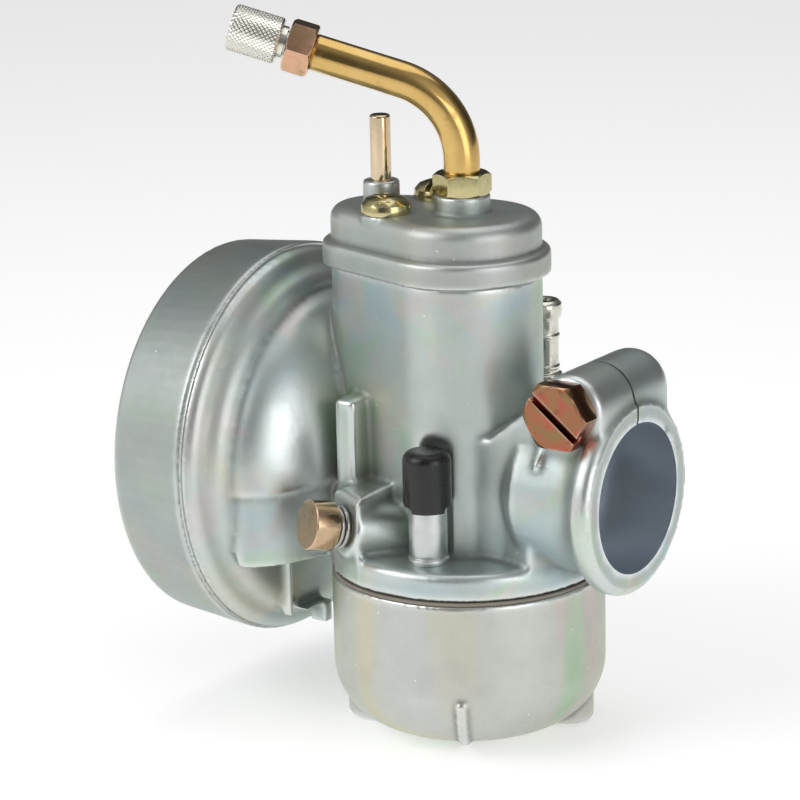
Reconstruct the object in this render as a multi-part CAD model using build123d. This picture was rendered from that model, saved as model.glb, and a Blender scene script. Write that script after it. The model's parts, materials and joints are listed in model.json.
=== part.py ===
"""Side-draught slide carburettor with an intake cup, a float bowl and a clamp spigot.

Everything is drawn in a frame whose origin is the crossing of the venturi axis (X, towards
the engine) and the throttle axis (Z, up). Each piece is shifted at export so that the frame
origin becomes the centre of the clamp spigot's mouth.
"""
from build123d import *
from math import atan2, cos, degrees, hypot, pi, radians, sin, sqrt
import os

# driving dimensions, mm
MOUTH_X = 31.8          # face of the clamp spigot
SPIGOT_R = 12.0         # bore that takes the engine's inlet stub
SPIGOT_DEPTH = 15.0
RING_R = 15.65          # outside of the clamp ring
VENTURI_R = 7.5
SLIDE_R = 9.4
SLIDE_BORE_R = 9.45
SLIDE_REST_Z = -7.9     # lower edge of the closed slide
SLIDE_TOP_Z = 15.6
SLIDE_BORE_FLOOR = -10.2
GUIDE_Z = 12.0          # pin that keeps the slide from turning
TOWER_R = 12.5
CHOKE_X = -15.4         # choke rod axis
CHOKE_R = 8.3           # small end of the tower
COVER_Z = 32.7          # joint between tower and cover
RIM_Z = 36.7
DOME_Z = 42.2
BOSS_Z = 45.2
NUT_Z = 48.6
BOWL_R = 22.1
FLANGE_R = 22.0
FLOOR_Z = -41.4         # underside of the bowl
JOINT_Z = -15.35        # body face that meets the gasket
GASKET_T = 0.5
FLANGE_TOP = -10.8
BLOCK_TOP = -0.8
RING_X = -28.0          # front of the intake back plate
HOOD_DEPTH = 11.2
CUP_X = -47.8           # open edge of the intake cup
CUP_Z = 0.8
SEAM_X = -33.2          # where the cup meets the back plate outside
FILTER_R = 29.4         # bore of the cup
LUG_Z = -41.8           # lower end of the bowl's screw lugs
LUG_SEAT = -39.4        # face under the bowl screw washers
BOWL_SCREWS = [(-14.3, -6.9), (14.3, 6.9)]
COVER_SCREWS = [(-10.6, -5.8), (-9.6, 7.8)]
TICKLER = (2.5, -15.2)
INLET = (3.2, 18.6)
INLET_SEAT = 11.4       # top of the fuel inlet's boss
SEAT = (4.0, 13.0)
JET_HOLES_Z = -18.5     # air holes across the jet column
HINGE_Y = 17.4
HINGE_Z = -18.5
CLAMP_X = 25.0
CLAMP_Z = 15.4
LOBE_FRONT = -10.2      # seat of the clamp screw
LOBE_BACK = 12.9
CLAMP_SLIT = 0.5
ELBOW_TURN = 209.0      # heading of the cable elbow
ELBOW_CLIMB = 17.8
ELBOW_BEND_R = 13.5
ELBOW_BEND_Z = 50.6
ELBOW_R = 2.9
IDLE_TURN = -120.1      # heading of the idle screw


def cyl_z(r, z0, z1, x=0.0, y=0.0):
    return Pos(x, y, (z0 + z1) / 2) * Cylinder(r, z1 - z0)


def cyl_x(r, x0, x1, y=0.0, z=0.0):
    return Pos((x0 + x1) / 2, y, z) * Rot(0, 90, 0) * Cylinder(r, x1 - x0)


def cyl_y(r, y0, y1, x=0.0, z=0.0):
    return Pos(x, (y0 + y1) / 2, z) * Rot(90, 0, 0) * Cylinder(r, y1 - y0)


def block(x0, x1, y0, y1, z0, z1):
    return Pos((x0 + x1) / 2, (y0 + y1) / 2, (z0 + z1) / 2) * Box(x1 - x0, y1 - y0, z1 - z0)


def turned_z(profile, x=0.0, y=0.0):
    """Solid of revolution about Z from (radius, z) pairs."""
    face = make_face(Polyline(*[(r, 0, z) for r, z in profile], close=True))
    return Pos(x, y, 0) * revolve(face, Axis.Z)


def turned_x(profile, z=0.0):
    """Solid of revolution about X from (x, radius) pairs."""
    face = make_face(Polyline(*[(x, 0, r) for x, r in profile], close=True))
    return Pos(0, 0, z) * revolve(face, Axis.X)


def hexagon(across_flats, height, turn=0.0):
    """Hexagonal prism standing on its base at the origin, with chamfered corners."""
    corner = across_flats / sqrt(3)
    prism = extrude(Rot(0, 0, turn) * RegularPolygon(corner, 6), height)
    cone = turned_z([(0, 0), (across_flats / 2, 0), (corner + 0.02, 0.45),
                     (corner + 0.02, height - 0.45), (across_flats / 2, height), (0, height)])
    return prism & cone


def coil(wire_r, mean_r, z0, z1, turns):
    """Round wire wound between two heights, with the last half turn at each end left open."""
    low = z0 + wire_r
    high = z1 - wire_r
    path = Helix((high - low) / turns, high - low, mean_r)
    section = Plane(origin=path @ 0, z_dir=path % 0) * Circle(wire_r)
    return Pos(0, 0, low) * sweep(section, path=path)


def egg(grow=0.0, big=TOWER_R, small=CHOKE_R):
    """Tower outline: two circles joined by their outer tangents."""
    r1 = big + grow
    r2 = small + grow
    nx = (r1 - r2) / CHOKE_X
    ny = sqrt(1 - nx * nx)
    upper = [(r1 * nx, r1 * ny), (CHOKE_X + r2 * nx, r2 * ny)]
    lower = [(x, -y) for x, y in upper]
    edges = [
        Line(upper[0], upper[1]),
        ThreePointArc(upper[1], (CHOKE_X - r2, 0), lower[1]),
        Line(lower[1], lower[0]),
        ThreePointArc(lower[0], (r1, 0), upper[0]),
    ]
    return make_face(Wire(edges))


def egg_block(z0, z1, grow=0.0):
    return Pos(0, 0, z0) * extrude(egg(grow), z1 - z0)


def screw_lobe(x, y, z0, z1):
    """Round post at a bowl screw, webbed out to the bowl's wall."""
    web = Rot(0, 0, degrees(atan2(y, x))) * block(hypot(x, y), 21.0, -2.9, 2.9, z0, z1)
    return (cyl_z(3.4, z0, z1, x, y) + web) & cyl_z(21.0, z0, z1)


def place_idle(shape):
    """Set a shape drawn along +Z on the idle screw's axis, its base on the throttle axis."""
    return Plane(origin=(0, 0, -11.0), z_dir=(-0.49, -0.845, 0.21)) * shape


def place_elbow(shape):
    """Set a shape drawn in the XZ plane of the elbow at its heading."""
    return Rot(0, 0, ELBOW_TURN) * shape


def elbow_end():
    """Centre of the elbow's outer end and its direction, in the elbow's own XZ plane."""
    sweep_angle = radians(90 - ELBOW_CLIMB)
    bend_x = ELBOW_BEND_R * (1 - cos(sweep_angle))
    bend_z = ELBOW_BEND_Z + ELBOW_BEND_R * sin(sweep_angle)
    dx = cos(radians(ELBOW_CLIMB))
    dz = sin(radians(ELBOW_CLIMB))
    run = (22.9 - bend_x) / dx
    return (bend_x + run * dx, bend_z + run * dz), (dx, dz), (bend_x, bend_z)


def on_elbow_axis(shape):
    """Set a shape drawn along +Z from the origin on the outer end of the elbow."""
    (x, z), (dx, dz), _ = elbow_end()
    return place_elbow(Plane(origin=(x, 0, z), x_dir=(0, 1, 0), z_dir=(dx, 0, dz)) * shape)


# --- body casting -----------------------------------------------------------

def tower_casting():
    tower = egg_block(-12, COVER_Z)
    guide = block(-16.2, -12.3, -13.8, 13.8, -4.0, 12.8)
    guide = fillet(guide.edges().filter_by(Axis.Z), 0.7)
    guide = fillet(guide.edges().group_by(Axis.Z)[-1], 0.6)
    return tower + guide


def float_roof():
    """Round flange over the float bowl, with the raised block beside the tickler pocket."""
    flange = cyl_z(FLANGE_R, JOINT_Z, FLANGE_TOP)
    flange = fillet(flange.edges().group_by(Axis.Z)[-1], 1.3)
    raised = cyl_z(21.4, JOINT_Z, BLOCK_TOP)
    raised = fillet(raised.edges().group_by(Axis.Z)[-1], 3.0)
    left = raised & block(-25, -6.9, -25, 25, JOINT_Z, 5)
    back = raised & block(-7.0, 12, 6, 25, JOINT_Z, 5)
    idle_pad = block(8.0, 21.7, -4.9, 4.9, JOINT_Z, BLOCK_TOP - 0.1)
    idle_pad = fillet(idle_pad.edges().group_by(Axis.Z)[-1], 1.6)
    idle_pad = Rot(0, 0, IDLE_TURN) * idle_pad & block(-30, -6.9, -30, 0, JOINT_Z, 5)
    post = cyl_z(3.9, JOINT_Z, -4.5, *BOWL_SCREWS[1])
    return flange + left + back + idle_pad + post


def neck_casting():
    """Neck from the tower to the clamp ring, with its flat cheeks and gusset."""
    neck = turned_x([(4.0, 0), (4.0, 8.7), (11.9, 8.7), (16.0, 13.0), (29.0, 13.0), (29.0, 0)])
    cheeks = block(4.0, 17.0, -9.4, 9.4, JOINT_Z, 8.6)
    gusset_face = Plane.XZ * Polyline((4, 0), (4, 3.4), (8.2, 7.2), (17, 14.2), (20.5, 15.6), (24, 16),
                                      (24, 0), close=True)
    gusset = Pos(0, 9.4, 0) * extrude(make_face(gusset_face), 18.8, dir=(0, -1, 0))
    ring = turned_x([(24.0, 0), (24.0, 12.9), (26.0, 13.2), (27.4, 14.0), (28.2, 15.0), (29.0, RING_R),
                     (30.7, RING_R), (31.5, 15.2), (MOUTH_X, 14.4), (MOUTH_X, 0)])
    return neck + cheeks + gusset + ring + skirt()


def skirt():
    """Wall under the neck, all but flush with the rim of the float roof."""
    r = FLANGE_R - 0.15
    corner_x = sqrt(r ** 2 - 11.3 ** 2)
    plan = make_face(Wire([
        Line((8, -9.2), (12.4, -9.2)).edge(), Line((12.4, -9.2), (corner_x, -11.3)).edge(),
        ThreePointArc((corner_x, -11.3), (r, 0), (corner_x, 11.3)).edge(),
        Line((corner_x, 11.3), (12.4, 9.2)).edge(), Line((12.4, 9.2), (8, 9.2)).edge(),
        Line((8, 9.2), (8, -9.2)).edge()]))
    return Pos(0, 0, JOINT_Z) * extrude(plan, -4.0 - JOINT_Z)


def clamp_lobe():
    """Pinch lobe over the spigot: a round-topped block with two small ribs under its seat."""
    side = Plane.XZ * (Pos(25.2, 10.1) * Rectangle(12.0, 10.2) + Pos(25.2, 15.2) * Circle(6.0))
    lobe = Pos(0, LOBE_BACK, 0) * extrude(side, LOBE_BACK - LOBE_FRONT, dir=(0, -1, 0))
    lobe = fillet(lobe.edges().group_by(Axis.Y)[-1], 3.8)
    lobe = fillet(lobe.edges().group_by(Axis.Y)[0], 1.2)
    for x, tip in ((19.9, 6.2), (21.4, 3.2)):
        rib = Plane.YZ * Polyline((-9.4, 10.0), (-12.7, tip), (-9.4, tip), close=True)
        lobe = lobe + Pos(x, 0, 0) * extrude(make_face(rib), 1.0, dir=(1, 0, 0))
    return lobe


def hood_casting():
    """Domed intake hood between the tower and the cup, straight-walled below its crease."""
    arc = EllipticalCenterArc((RING_X, 0), HOOD_DEPTH, 26.0, 0, arc_size=90)
    outline = make_face(Wire([arc.edge(), Line((RING_X, 26.0), (RING_X, 0)).edge(),
                              Line((RING_X, 0), (RING_X + HOOD_DEPTH, 0)).edge()]))
    dome = revolve(outline, Axis.X)
    upper = dome & block(-29, -8, -27, 27, -2.0, 27)
    plan = make_face(Wire([
        EllipticalCenterArc((RING_X, 0), HOOD_DEPTH - 0.5, 25.4, -90, arc_size=180).edge(),
        Line((RING_X, 25.4), (RING_X, -25.4)).edge()]))
    lower = Pos(0, 0, -14.0) * extrude(plan, 12.0)
    return upper + lower


def back_plate():
    """Round plate, rolled bead and spigot that carry the intake cup."""
    plate = turned_x([
        (-36.0, 0), (-36.0, 30.2), (-35.6, 30.6), (SEAM_X, 30.6), (SEAM_X, 31.9), (-32.3, 31.75),
        (-31.6, 31.2), (-31.1, 30.4), (-30.8, 29.5), (-30.1, 28.9), (-29.1, 28.2), (-28.4, 27.3),
        (RING_X, 26.4), (RING_X, 0)], CUP_Z)
    rib = block(RING_X - 0.5, RING_X + 1.4, -12.9, -11.7, -26.0, -13.0)
    pad = block(RING_X - 0.5, RING_X + 3.0, -5.0, -3.0, -29.0, -25.4)
    shelf = block(RING_X - 0.5, RING_X + 2.4, -9.6, -3.0, -25.9, -25.3)
    return plate + rib + pad + shelf


def body_cuts():
    """Everything bored, drilled or cored out of the casting."""
    cup_core = turned_x([(-37, 0), (-37, 28.6), (-31.0, 28.6), (-31.0, 0)], CUP_Z)
    bell = turned_x([(-31.5, 0), (-31.5, 12.6), (-29.0, 9.6), (-26.0, 8.2), (-22.0, VENTURI_R),
                     (-9.0, VENTURI_R), (-9.0, 0)])
    throat = cyl_x(VENTURI_R, -10.0, MOUTH_X)
    spigot = cyl_x(SPIGOT_R, MOUTH_X - SPIGOT_DEPTH, MOUTH_X + 1)
    bore = cyl_z(SLIDE_BORE_R, SLIDE_BORE_FLOOR, COVER_Z + 1)
    rod_bore = cyl_z(3.5, 9.5, COVER_Z + 1, CHOKE_X)
    slot = block(-13.4, -12.5, -8.2, 8.2, -2.7, COVER_Z + 1)
    bleed = cyl_z(1.0, 7.0, 9.6, CHOKE_X)
    clamp_slit = block(18.5, MOUTH_X + 1, -CLAMP_SLIT / 2, CLAMP_SLIT / 2, 11.0, 23.0)
    clamp_hole = cyl_y(3.1, -14, 0.0, CLAMP_X, CLAMP_Z)
    clamp_hole += cyl_y(3.02, -0.2, LOBE_BACK + 1, CLAMP_X, CLAMP_Z)
    seat_face = cyl_y(5.7, -14.0, LOBE_FRONT, CLAMP_X, CLAMP_Z)
    cap_relief = cyl_z(4.2, FLANGE_TOP, 9.0, *TICKLER)
    cap_relief = fillet(cap_relief.edges().group_by(Axis.Z)[-1], 2.5)
    return (cup_core + bell + throat + spigot + bore + rod_bore + slot + bleed
            + clamp_slit + clamp_hole + seat_face + cap_relief)


def float_cuts():
    """Hollow roof of the float chamber, jet thread, inlet drilling and screw holes."""
    roof = cyl_z(20.2, JOINT_Z - 1, -13.3)
    for x, y in BOWL_SCREWS:
        roof = roof - screw_lobe(x, y, JOINT_Z - 2, -13)
    roof = roof - cyl_z(4.4, JOINT_Z - 2, -13)
    roof = roof - cyl_z(4.2, JOINT_Z - 2, -13, *SEAT)
    for x0, x1 in ((0.0, 1.4), (6.6, 8.0)):
        roof = roof - block(x0, x1, HINGE_Y - 1.4, HINGE_Y + 1.2, JOINT_Z - 2, -13)
    cuts = roof + cyl_z(2.5, JOINT_Z - 1, -9.0) + cyl_z(2.6, JOINT_Z - 1, -9.5, *SEAT)
    cuts += cyl_z(1.2, -10.8, 9.0, *INLET) + cyl_z(2.2, 4.0, INLET_SEAT + 1, *INLET)
    cuts += cyl_y(0.9, SEAT[1], INLET[1], INLET[0], -10.3)
    cuts += cyl_z(2.2, -14.0, -9.0, *TICKLER)
    for x, y in BOWL_SCREWS:
        cuts += cyl_z(2.0, JOINT_Z - 1, -7.0, x, y)
    for x, y in COVER_SCREWS:
        cuts += cyl_z(1.75, 22.0, COVER_Z + 1, x, y)
    cuts += cyl_y(0.8, SLIDE_BORE_R - 1.0, TOWER_R + 1, 0, GUIDE_Z)
    cuts += cyl_z(0.8, -9.5, 6.0, 11.4, 0.0)
    return cuts


def body_casting():
    inlet_boss = cyl_z(4.6, FLANGE_TOP - 1, INLET_SEAT, *INLET)
    inlet_boss = fillet(inlet_boss.edges().group_by(Axis.Z)[-1], 0.8)
    idle_boss = place_idle(cyl_z(4.7, 6.0, 22.4))
    solid = tower_casting() + float_roof() + neck_casting() + clamp_lobe()
    solid += hood_casting() + back_plate() + inlet_boss + idle_boss
    solid += block(-0.8, 7.2, 8.0, 18.0, -11.5, 8.0)
    idle_hole = place_idle(cyl_z(2.0, 7.6, 24.0))
    hinge_lugs = Part() + [block(x0, x1, HINGE_Y - 1.4, HINGE_Y + 1.2, HINGE_Z - 1.3, -13.0)
                           & cyl_z(19.8, -25, -10) for x0, x1 in ((0.2, 1.4), (6.6, 7.8))]
    solid = solid - body_cuts() - float_cuts() - idle_hole
    solid = solid + hinge_lugs
    return solid - cyl_x(0.75, -1.0, 9.0, HINGE_Y, HINGE_Z)


# --- intake cup ---------------------------------------------------------------

def intake_cup():
    return turned_x([
        (CUP_X, FILTER_R), (CUP_X, 30.6), (CUP_X + 0.6, 31.3), (SEAM_X - 0.7, 32.5), (SEAM_X, 32.1),
        (SEAM_X, 30.6), (-36.4, 30.6), (-36.4, FILTER_R)], CUP_Z)


# --- float bowl ---------------------------------------------------------------

def bowl_profile(r, floor_z, corner):
    """Half section of a bowl: straight side, round corner, flat floor."""
    top = JOINT_Z - GASKET_T
    bend = floor_z + corner
    line = [Line((0, 0, top), (r, 0, top)), Line((r, 0, top), (r, 0, bend)),
            ThreePointArc((r, 0, bend), (r - corner * (1 - cos(pi / 4)), 0, floor_z + corner *
                          (1 - sin(pi / 4))), (r - corner, 0, floor_z)),
            Line((r - corner, 0, floor_z), (0, 0, floor_z)), Line((0, 0, floor_z), (0, 0, top))]
    return make_face(Wire([piece.edge() for piece in line]))


def float_bowl():
    solid_bowl = revolve(bowl_profile(BOWL_R, FLOOR_Z, 10.5), Axis.Z)
    skin = revolve(bowl_profile(BOWL_R + 0.7, FLOOR_Z - 0.7, 11.2), Axis.Z)
    hollow = revolve(bowl_profile(20.2, -39.4, 9.0), Axis.Z)
    top = JOINT_Z - GASKET_T
    bowl = solid_bowl - hollow
    for x, y in BOWL_SCREWS:
        bowl = bowl + (screw_lobe(x, y, -39.9, top) & solid_bowl)
        lug = cyl_z(4.3, LUG_Z, -33.0, x, y)
        bowl = bowl + (fillet(lug.edges().group_by(Axis.Z)[0], 0.8) - hollow)
    fin = Rot(0, 0, -60.6) * block(9.0, 24.0, -0.7, 0.7, -43.0, -32.0) & skin
    foot = cyl_z(10.8, FLOOR_Z - 0.8, FLOOR_Z + 1)
    foot = fillet(foot.edges().group_by(Axis.Z)[0], 0.4)
    bowl = bowl + (fin - hollow) + foot
    for x, y in BOWL_SCREWS:
        bowl = bowl - cyl_z(2.2, -43, top + 1, x, y) - cyl_z(3.35, -44, LUG_SEAT, x, y)
    return bowl


def bowl_gasket():
    top = JOINT_Z
    low = JOINT_Z - GASKET_T
    ring = cyl_z(22.0, low, top) - cyl_z(20.2, low - 1, top + 1)
    for x, y in BOWL_SCREWS:
        ring = ring + screw_lobe(x, y, low, top)
    for x, y in BOWL_SCREWS:
        ring = ring - cyl_z(2.2, low - 1, top + 1, x, y)
    return ring


def cheese_screw(shank_r, head_r, head_h, length, slot_w):
    """Slotted screw: shank up +Z from the head's bearing face at z = 0."""
    head = fillet(cyl_z(head_r, -head_h, 0).edges().group_by(Axis.Z)[0], 0.4)
    slot = block(-head_r - 1, head_r + 1, -slot_w / 2, slot_w / 2, -head_h - 1, -head_h + 0.9)
    return head + cyl_z(shank_r, 0, length) - slot


def bowl_screws():
    screw = cheese_screw(2.0, 3.1, 2.0, 32.0, 0.9)
    return Part() + [Pos(x, y, LUG_SEAT - 0.6) * Rot(0, 0, 35 * i) * screw
                     for i, (x, y) in enumerate(BOWL_SCREWS)]


def bowl_washers():
    ring = cyl_z(3.3, LUG_SEAT - 0.6, LUG_SEAT) - cyl_z(2.1, -42, -38)
    return Part() + [Pos(x, y, 0) * ring for x, y in BOWL_SCREWS]


# --- cover and cable ----------------------------------------------------------

def top_cover():
    rim = egg_block(COVER_Z, RIM_Z, 1.4)
    rim = fillet(rim.edges().group_by(Axis.Z)[-1], 0.9)
    dome = egg_block(RIM_Z - 1, DOME_Z)
    dome = fillet(dome.edges().group_by(Axis.Z)[-1], 2.2)
    cable_boss = cyl_z(4.45, DOME_Z - 1, BOSS_Z)
    choke_boss = cyl_z(2.95, DOME_Z - 1, 46.0, CHOKE_X)
    choke_boss = fillet(choke_boss.edges().group_by(Axis.Z)[-1], 0.4)
    cover = rim + dome + cable_boss + choke_boss
    front, rear = COVER_SCREWS
    cover = cover + (cyl_z(4.1, DOME_Z - 3, DOME_Z, *front) & egg_block(RIM_Z, DOME_Z, -0.05))
    cover = cover + (cyl_z(4.1, RIM_Z - 1, DOME_Z, *rear) & egg_block(RIM_Z - 1, DOME_Z, 1.3))
    cover = cover - cyl_z(8.7, COVER_Z - 1, 39.5) - cyl_z(2.1, 39.0, BOSS_Z + 1)
    cover = cover - cyl_z(2.5, BOSS_Z - 4.5, BOSS_Z + 1)
    cover = cover - cyl_z(3.1, COVER_Z - 1, 34.0, CHOKE_X) - cyl_z(1.73, 33.0, 47, CHOKE_X)
    for x, y in COVER_SCREWS:
        cover = cover - cyl_z(1.9, COVER_Z - 1, DOME_Z + 3, x, y)
    return cover


def cover_screws():
    head = turned_z([(0, 0), (4.0, 0), (4.1, 0.5), (3.9, 1.5), (3.2, 2.3), (2.0, 2.75), (0, 2.9)])
    slot = block(-5, 5, -0.5, 0.5, 1.6, 4)
    screw = head + cyl_z(1.75, -18.5, 0) - slot
    return Part() + [Pos(x, y, DOME_Z) * Rot(0, 0, 28 + 66 * i) * screw
                     for i, (x, y) in enumerate(COVER_SCREWS)]


def cable_elbow():
    """Bent brass tube from the cover boss to the cable adjuster."""
    (end_x, end_z), _, (bend_x, bend_z) = elbow_end()
    mid = radians(90 - ELBOW_CLIMB) / 2
    arc_mid = (ELBOW_BEND_R * (1 - cos(mid)), 0, ELBOW_BEND_Z + ELBOW_BEND_R * sin(mid))
    path = Wire([
        Line((0, 0, BOSS_Z), (0, 0, ELBOW_BEND_Z)).edge(),
        ThreePointArc((0, 0, ELBOW_BEND_Z), arc_mid, (bend_x, 0, bend_z)).edge(),
        Line((bend_x, 0, bend_z), (end_x, 0, end_z)).edge()])
    ring = Pos(0, 0, BOSS_Z) * (Circle(ELBOW_R) - Circle(1.7))
    tube = place_elbow(sweep(ring, path=path))
    root = cyl_z(2.45, BOSS_Z - 4.3, BOSS_Z) - cyl_z(1.7, BOSS_Z - 5, BOSS_Z + 1)
    return tube + root - on_elbow_axis(cyl_z(2.05, -8.0, 1.0))


def elbow_nut():
    face_to_front = -55.6 + 30
    nut = hexagon(8.1, NUT_Z - BOSS_Z, face_to_front)
    return Pos(0, 0, BOSS_Z) * (nut - cyl_z(3.0, -1, 6))


def adjuster_locknut():
    return on_elbow_axis(hexagon(7.7, 4.2, 60) - cyl_z(2.08, -1, 6))


def cable_adjuster():
    """Knurled adjuster: hollow, with a seat for the cable's outer casing."""
    knob = cyl_z(3.7, 5.5, 13.4)
    knob = fillet(knob.edges().filter_by(GeomType.CIRCLE), 0.35)
    grooves = Part() + [Rot(0, 0, a) * block(3.45, 4.2, -0.14, 0.14, 4.0, 14.0)
                        for a in range(0, 360, 15)]
    stem = cyl_z(2.0, -7.0, 6.0) + cyl_z(2.6, 4.6, 6.0)
    hollow = cyl_z(1.3, -8, 14) + cyl_z(2.6, 9.4, 14)
    return on_elbow_axis(knob + stem - grooves - hollow)


# --- throttle slide -------------------------------------------------------------

def throttle_slide():
    slide = cyl_z(SLIDE_R, SLIDE_REST_Z, SLIDE_TOP_Z)
    slide = chamfer(slide.edges().group_by(Axis.Z)[0], 0.5)
    slide = slide - cyl_z(7.6, SLIDE_REST_Z + 2.0, SLIDE_TOP_Z + 1)
    cutaway = Pos(-9.4, 0, SLIDE_REST_Z - 2.0) * Rot(0, 30, 0) * Box(9.0, 20.0, 5.0)
    groove = block(-1.1, 1.1, 8.6, 10.0, SLIDE_REST_Z - 1, SLIDE_TOP_Z + 1)
    return slide - cutaway - groove - cyl_z(1.25, SLIDE_REST_Z - 1, 0)


def slide_guide_pin():
    return cyl_y(0.8, SLIDE_BORE_R - 0.5, 12.2, 0, GUIDE_Z)


def jet_needle():
    top = SLIDE_REST_Z + 2.0
    return turned_z([(0, top + 2.8), (0.8, top + 2.8), (0.95, top + 2.6), (0.95, top + 0.4),
                     (0.7, top + 0.4), (0.7, top), (0.95, top), (0.95, -16.0),
                     (0.5, -26.5), (0, -27.0)])


def needle_clip():
    z0 = SLIDE_REST_Z + 2.0
    ring = cyl_z(2.3, z0, z0 + 0.4) - cyl_z(0.7, z0 - 1, z0 + 1)
    return ring - block(0.0, 3.0, -0.6, 0.6, z0 - 1, z0 + 1)


def needle_retainer():
    """Cup-shaped plate the throttle spring presses on, over the needle clip."""
    floor_z = SLIDE_REST_Z + 2.0
    plate = cyl_z(7.5, floor_z, floor_z + 1.4) - cyl_z(2.5, floor_z - 1, floor_z + 3)
    hat = cyl_z(3.4, floor_z + 1.4, floor_z + 4.6) - cyl_z(2.5, floor_z, floor_z + 4.0)
    return plate + hat - cyl_z(1.1, floor_z, floor_z + 8)


def throttle_spring():
    return coil(0.55, 5.9, SLIDE_REST_Z + 3.4, 39.5, 9)


# --- choke ----------------------------------------------------------------------

def choke_rod():
    rod = cyl_z(1.67, 23.2, 56.5, CHOKE_X)
    rod = fillet(rod.edges().group_by(Axis.Z)[-1], 0.45)
    return rod + cyl_z(1.1, 20.6, 23.2, CHOKE_X)


def choke_slide():
    plate = block(-13.3, -12.6, -8.1, 8.1, 7.8, 23.2)
    tab = block(-17.0, -12.6, -1.8, 1.8, 22.2, 23.2)
    window = cyl_x(1.5, -14, -11, 0, 11.5)
    return plate + tab - cyl_z(1.1, 20, 24, CHOKE_X) - window


def choke_spring():
    return Pos(CHOKE_X, 0, 0) * coil(0.25, 1.75, 9.5, 22.2, 7.5)


# --- float gear -------------------------------------------------------------------

def jet_holder():
    """Brass column screwed into the roof over the bowl, with cross holes near its top."""
    column = turned_z([(0, -31.0), (3.0, -31.0), (3.0, -20.0), (3.4, -20.0), (3.4, JOINT_Z - 2.0),
                       (4.0, JOINT_Z - 2.0), (4.0, JOINT_Z), (2.5, JOINT_Z), (2.5, -10.2), (0, -10.2)])
    return column - cyl_z(1.9, -32.0, -9.0) - cyl_x(0.5, -4, 4, 0, JET_HOLES_Z)


def needle_jet():
    return cyl_z(1.9, -27.5, -8.4) - cyl_z(1.25, -28, -8.0) - cyl_x(0.5, -4, 4, 0, JET_HOLES_Z)


def main_jet():
    jet = cyl_z(1.9, -31.0, -28.0) + Pos(0, 0, -33.0) * hexagon(6.0, 2.0)
    jet = jet - cyl_z(0.6, -34, -27) - block(-4, 4, -0.5, 0.5, -34, -32.3)
    return jet


def bowl_float():
    """Ring float with a lobe that reaches under the tickler."""
    ring = cyl_z(10.6, -34.0, -20.4)
    lobe = block(-0.5, 5.5, -16.6, -8.0, -34.0, -20.4) & cyl_z(16.9, -34.0, -20.4)
    body = ring + lobe
    body = fillet(body.edges().group_by(Axis.Z)[0], 0.8)
    return body - cyl_z(6.0, -35, -20)


def float_arm():
    """Brass bracket from the float up to its hinge, with the tab under the needle."""
    strap = block(1.7, 6.3, 7.2, 12.0, -20.4, -19.8)
    riser = block(1.7, 6.3, 11.4, 12.0, -20.4, -18.9)
    tab = block(1.7, 6.3, 11.4, HINGE_Y + 0.3, -19.5, -18.9)
    eye = cyl_x(1.35, 1.7, 6.3, HINGE_Y, HINGE_Z)
    return strap + riser + tab + eye - cyl_x(0.82, 1.0, 7.0, HINGE_Y, HINGE_Z)


def float_hinge_pin():
    return cyl_x(0.75, 0.2, 7.8, HINGE_Y, HINGE_Z)


def needle_seat():
    x, y = SEAT
    seat = turned_z([(0, -17.2), (3.6, -17.2), (3.6, JOINT_Z), (2.6, JOINT_Z), (2.6, -10.6), (0, -10.6)],
                    x, y)
    return seat - cyl_z(1.56, -18.0, -12.6, x, y) - cyl_z(0.7, -14, -10, x, y)


def float_needle():
    x, y = SEAT
    return turned_z([(0, -18.75), (1.0, -18.75), (1.0, -18.0), (1.5, -17.9), (1.5, -14.2),
                     (0.4, -13.1), (0, -13.0)], x, y)


def fuel_inlet():
    """Nipple pressed into its boss, with two fine rings and a flared end for the hose."""
    x, y = INLET
    tube = turned_z([
        (0, 4.6), (2.2, 4.6), (2.2, INLET_SEAT), (3.0, INLET_SEAT), (3.0, 12.2), (2.45, 12.4),
        (2.45, 13.0), (2.65, 13.1), (2.65, 13.6), (2.45, 13.7), (2.45, 18.2), (2.65, 18.3),
        (2.65, 18.8), (2.45, 18.9), (2.45, 21.3), (3.0, 21.9), (3.0, 23.9), (2.4, 24.5), (0, 24.5)], x, y)
    return tube - cyl_z(1.4, 4.0, 26.0, x, y)


# --- screws, tickler -----------------------------------------------------------------

def idle_screw():
    head = fillet(cyl_z(4.0, 25.0, 29.0).edges().group_by(Axis.Z)[-1], 0.25)
    shank = turned_z([(0, 8.0), (0.6, 8.0), (1.95, 12.0), (1.95, 25.0), (0, 25.0)])
    return place_idle(head + shank)


def idle_screw_spring():
    return place_idle(coil(0.4, 3.1, 22.4, 25.0, 2.0))


def clamp_screw():
    head = hexagon(10.0, 4.0)
    slot = Rot(0, 0, 38) * block(-6, 6, -0.6, 0.6, -1, 1.5)
    shape = head - slot + cyl_z(3.0, 4.0, 24.5)
    return Pos(CLAMP_X, LOBE_FRONT - 4.0, CLAMP_Z) * Rot(-90, 0, 0) * shape


def tickler_sleeve():
    """Bright guide post pressed into the roof."""
    x, y = TICKLER
    post = turned_z([(0, -13.3), (2.2, -13.3), (2.2, FLANGE_TOP), (3.3, FLANGE_TOP), (3.3, -10.0),
                     (2.85, -9.7), (3.05, -9.4), (3.05, -0.4), (2.7, 0.0), (0, 0.0)], x, y)
    return post - cyl_z(1.06, -14, 1, x, y) - cyl_z(2.2, -6.0, 1, x, y)


def tickler_pin():
    x, y = TICKLER
    return turned_z([(0, -12.4), (0.7, -12.4), (1.0, -12.0), (1.0, 4.0), (2.3, 4.0), (2.3, 4.6),
                     (1.3, 4.6), (1.3, 6.0), (0, 6.0)], x, y)


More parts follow.
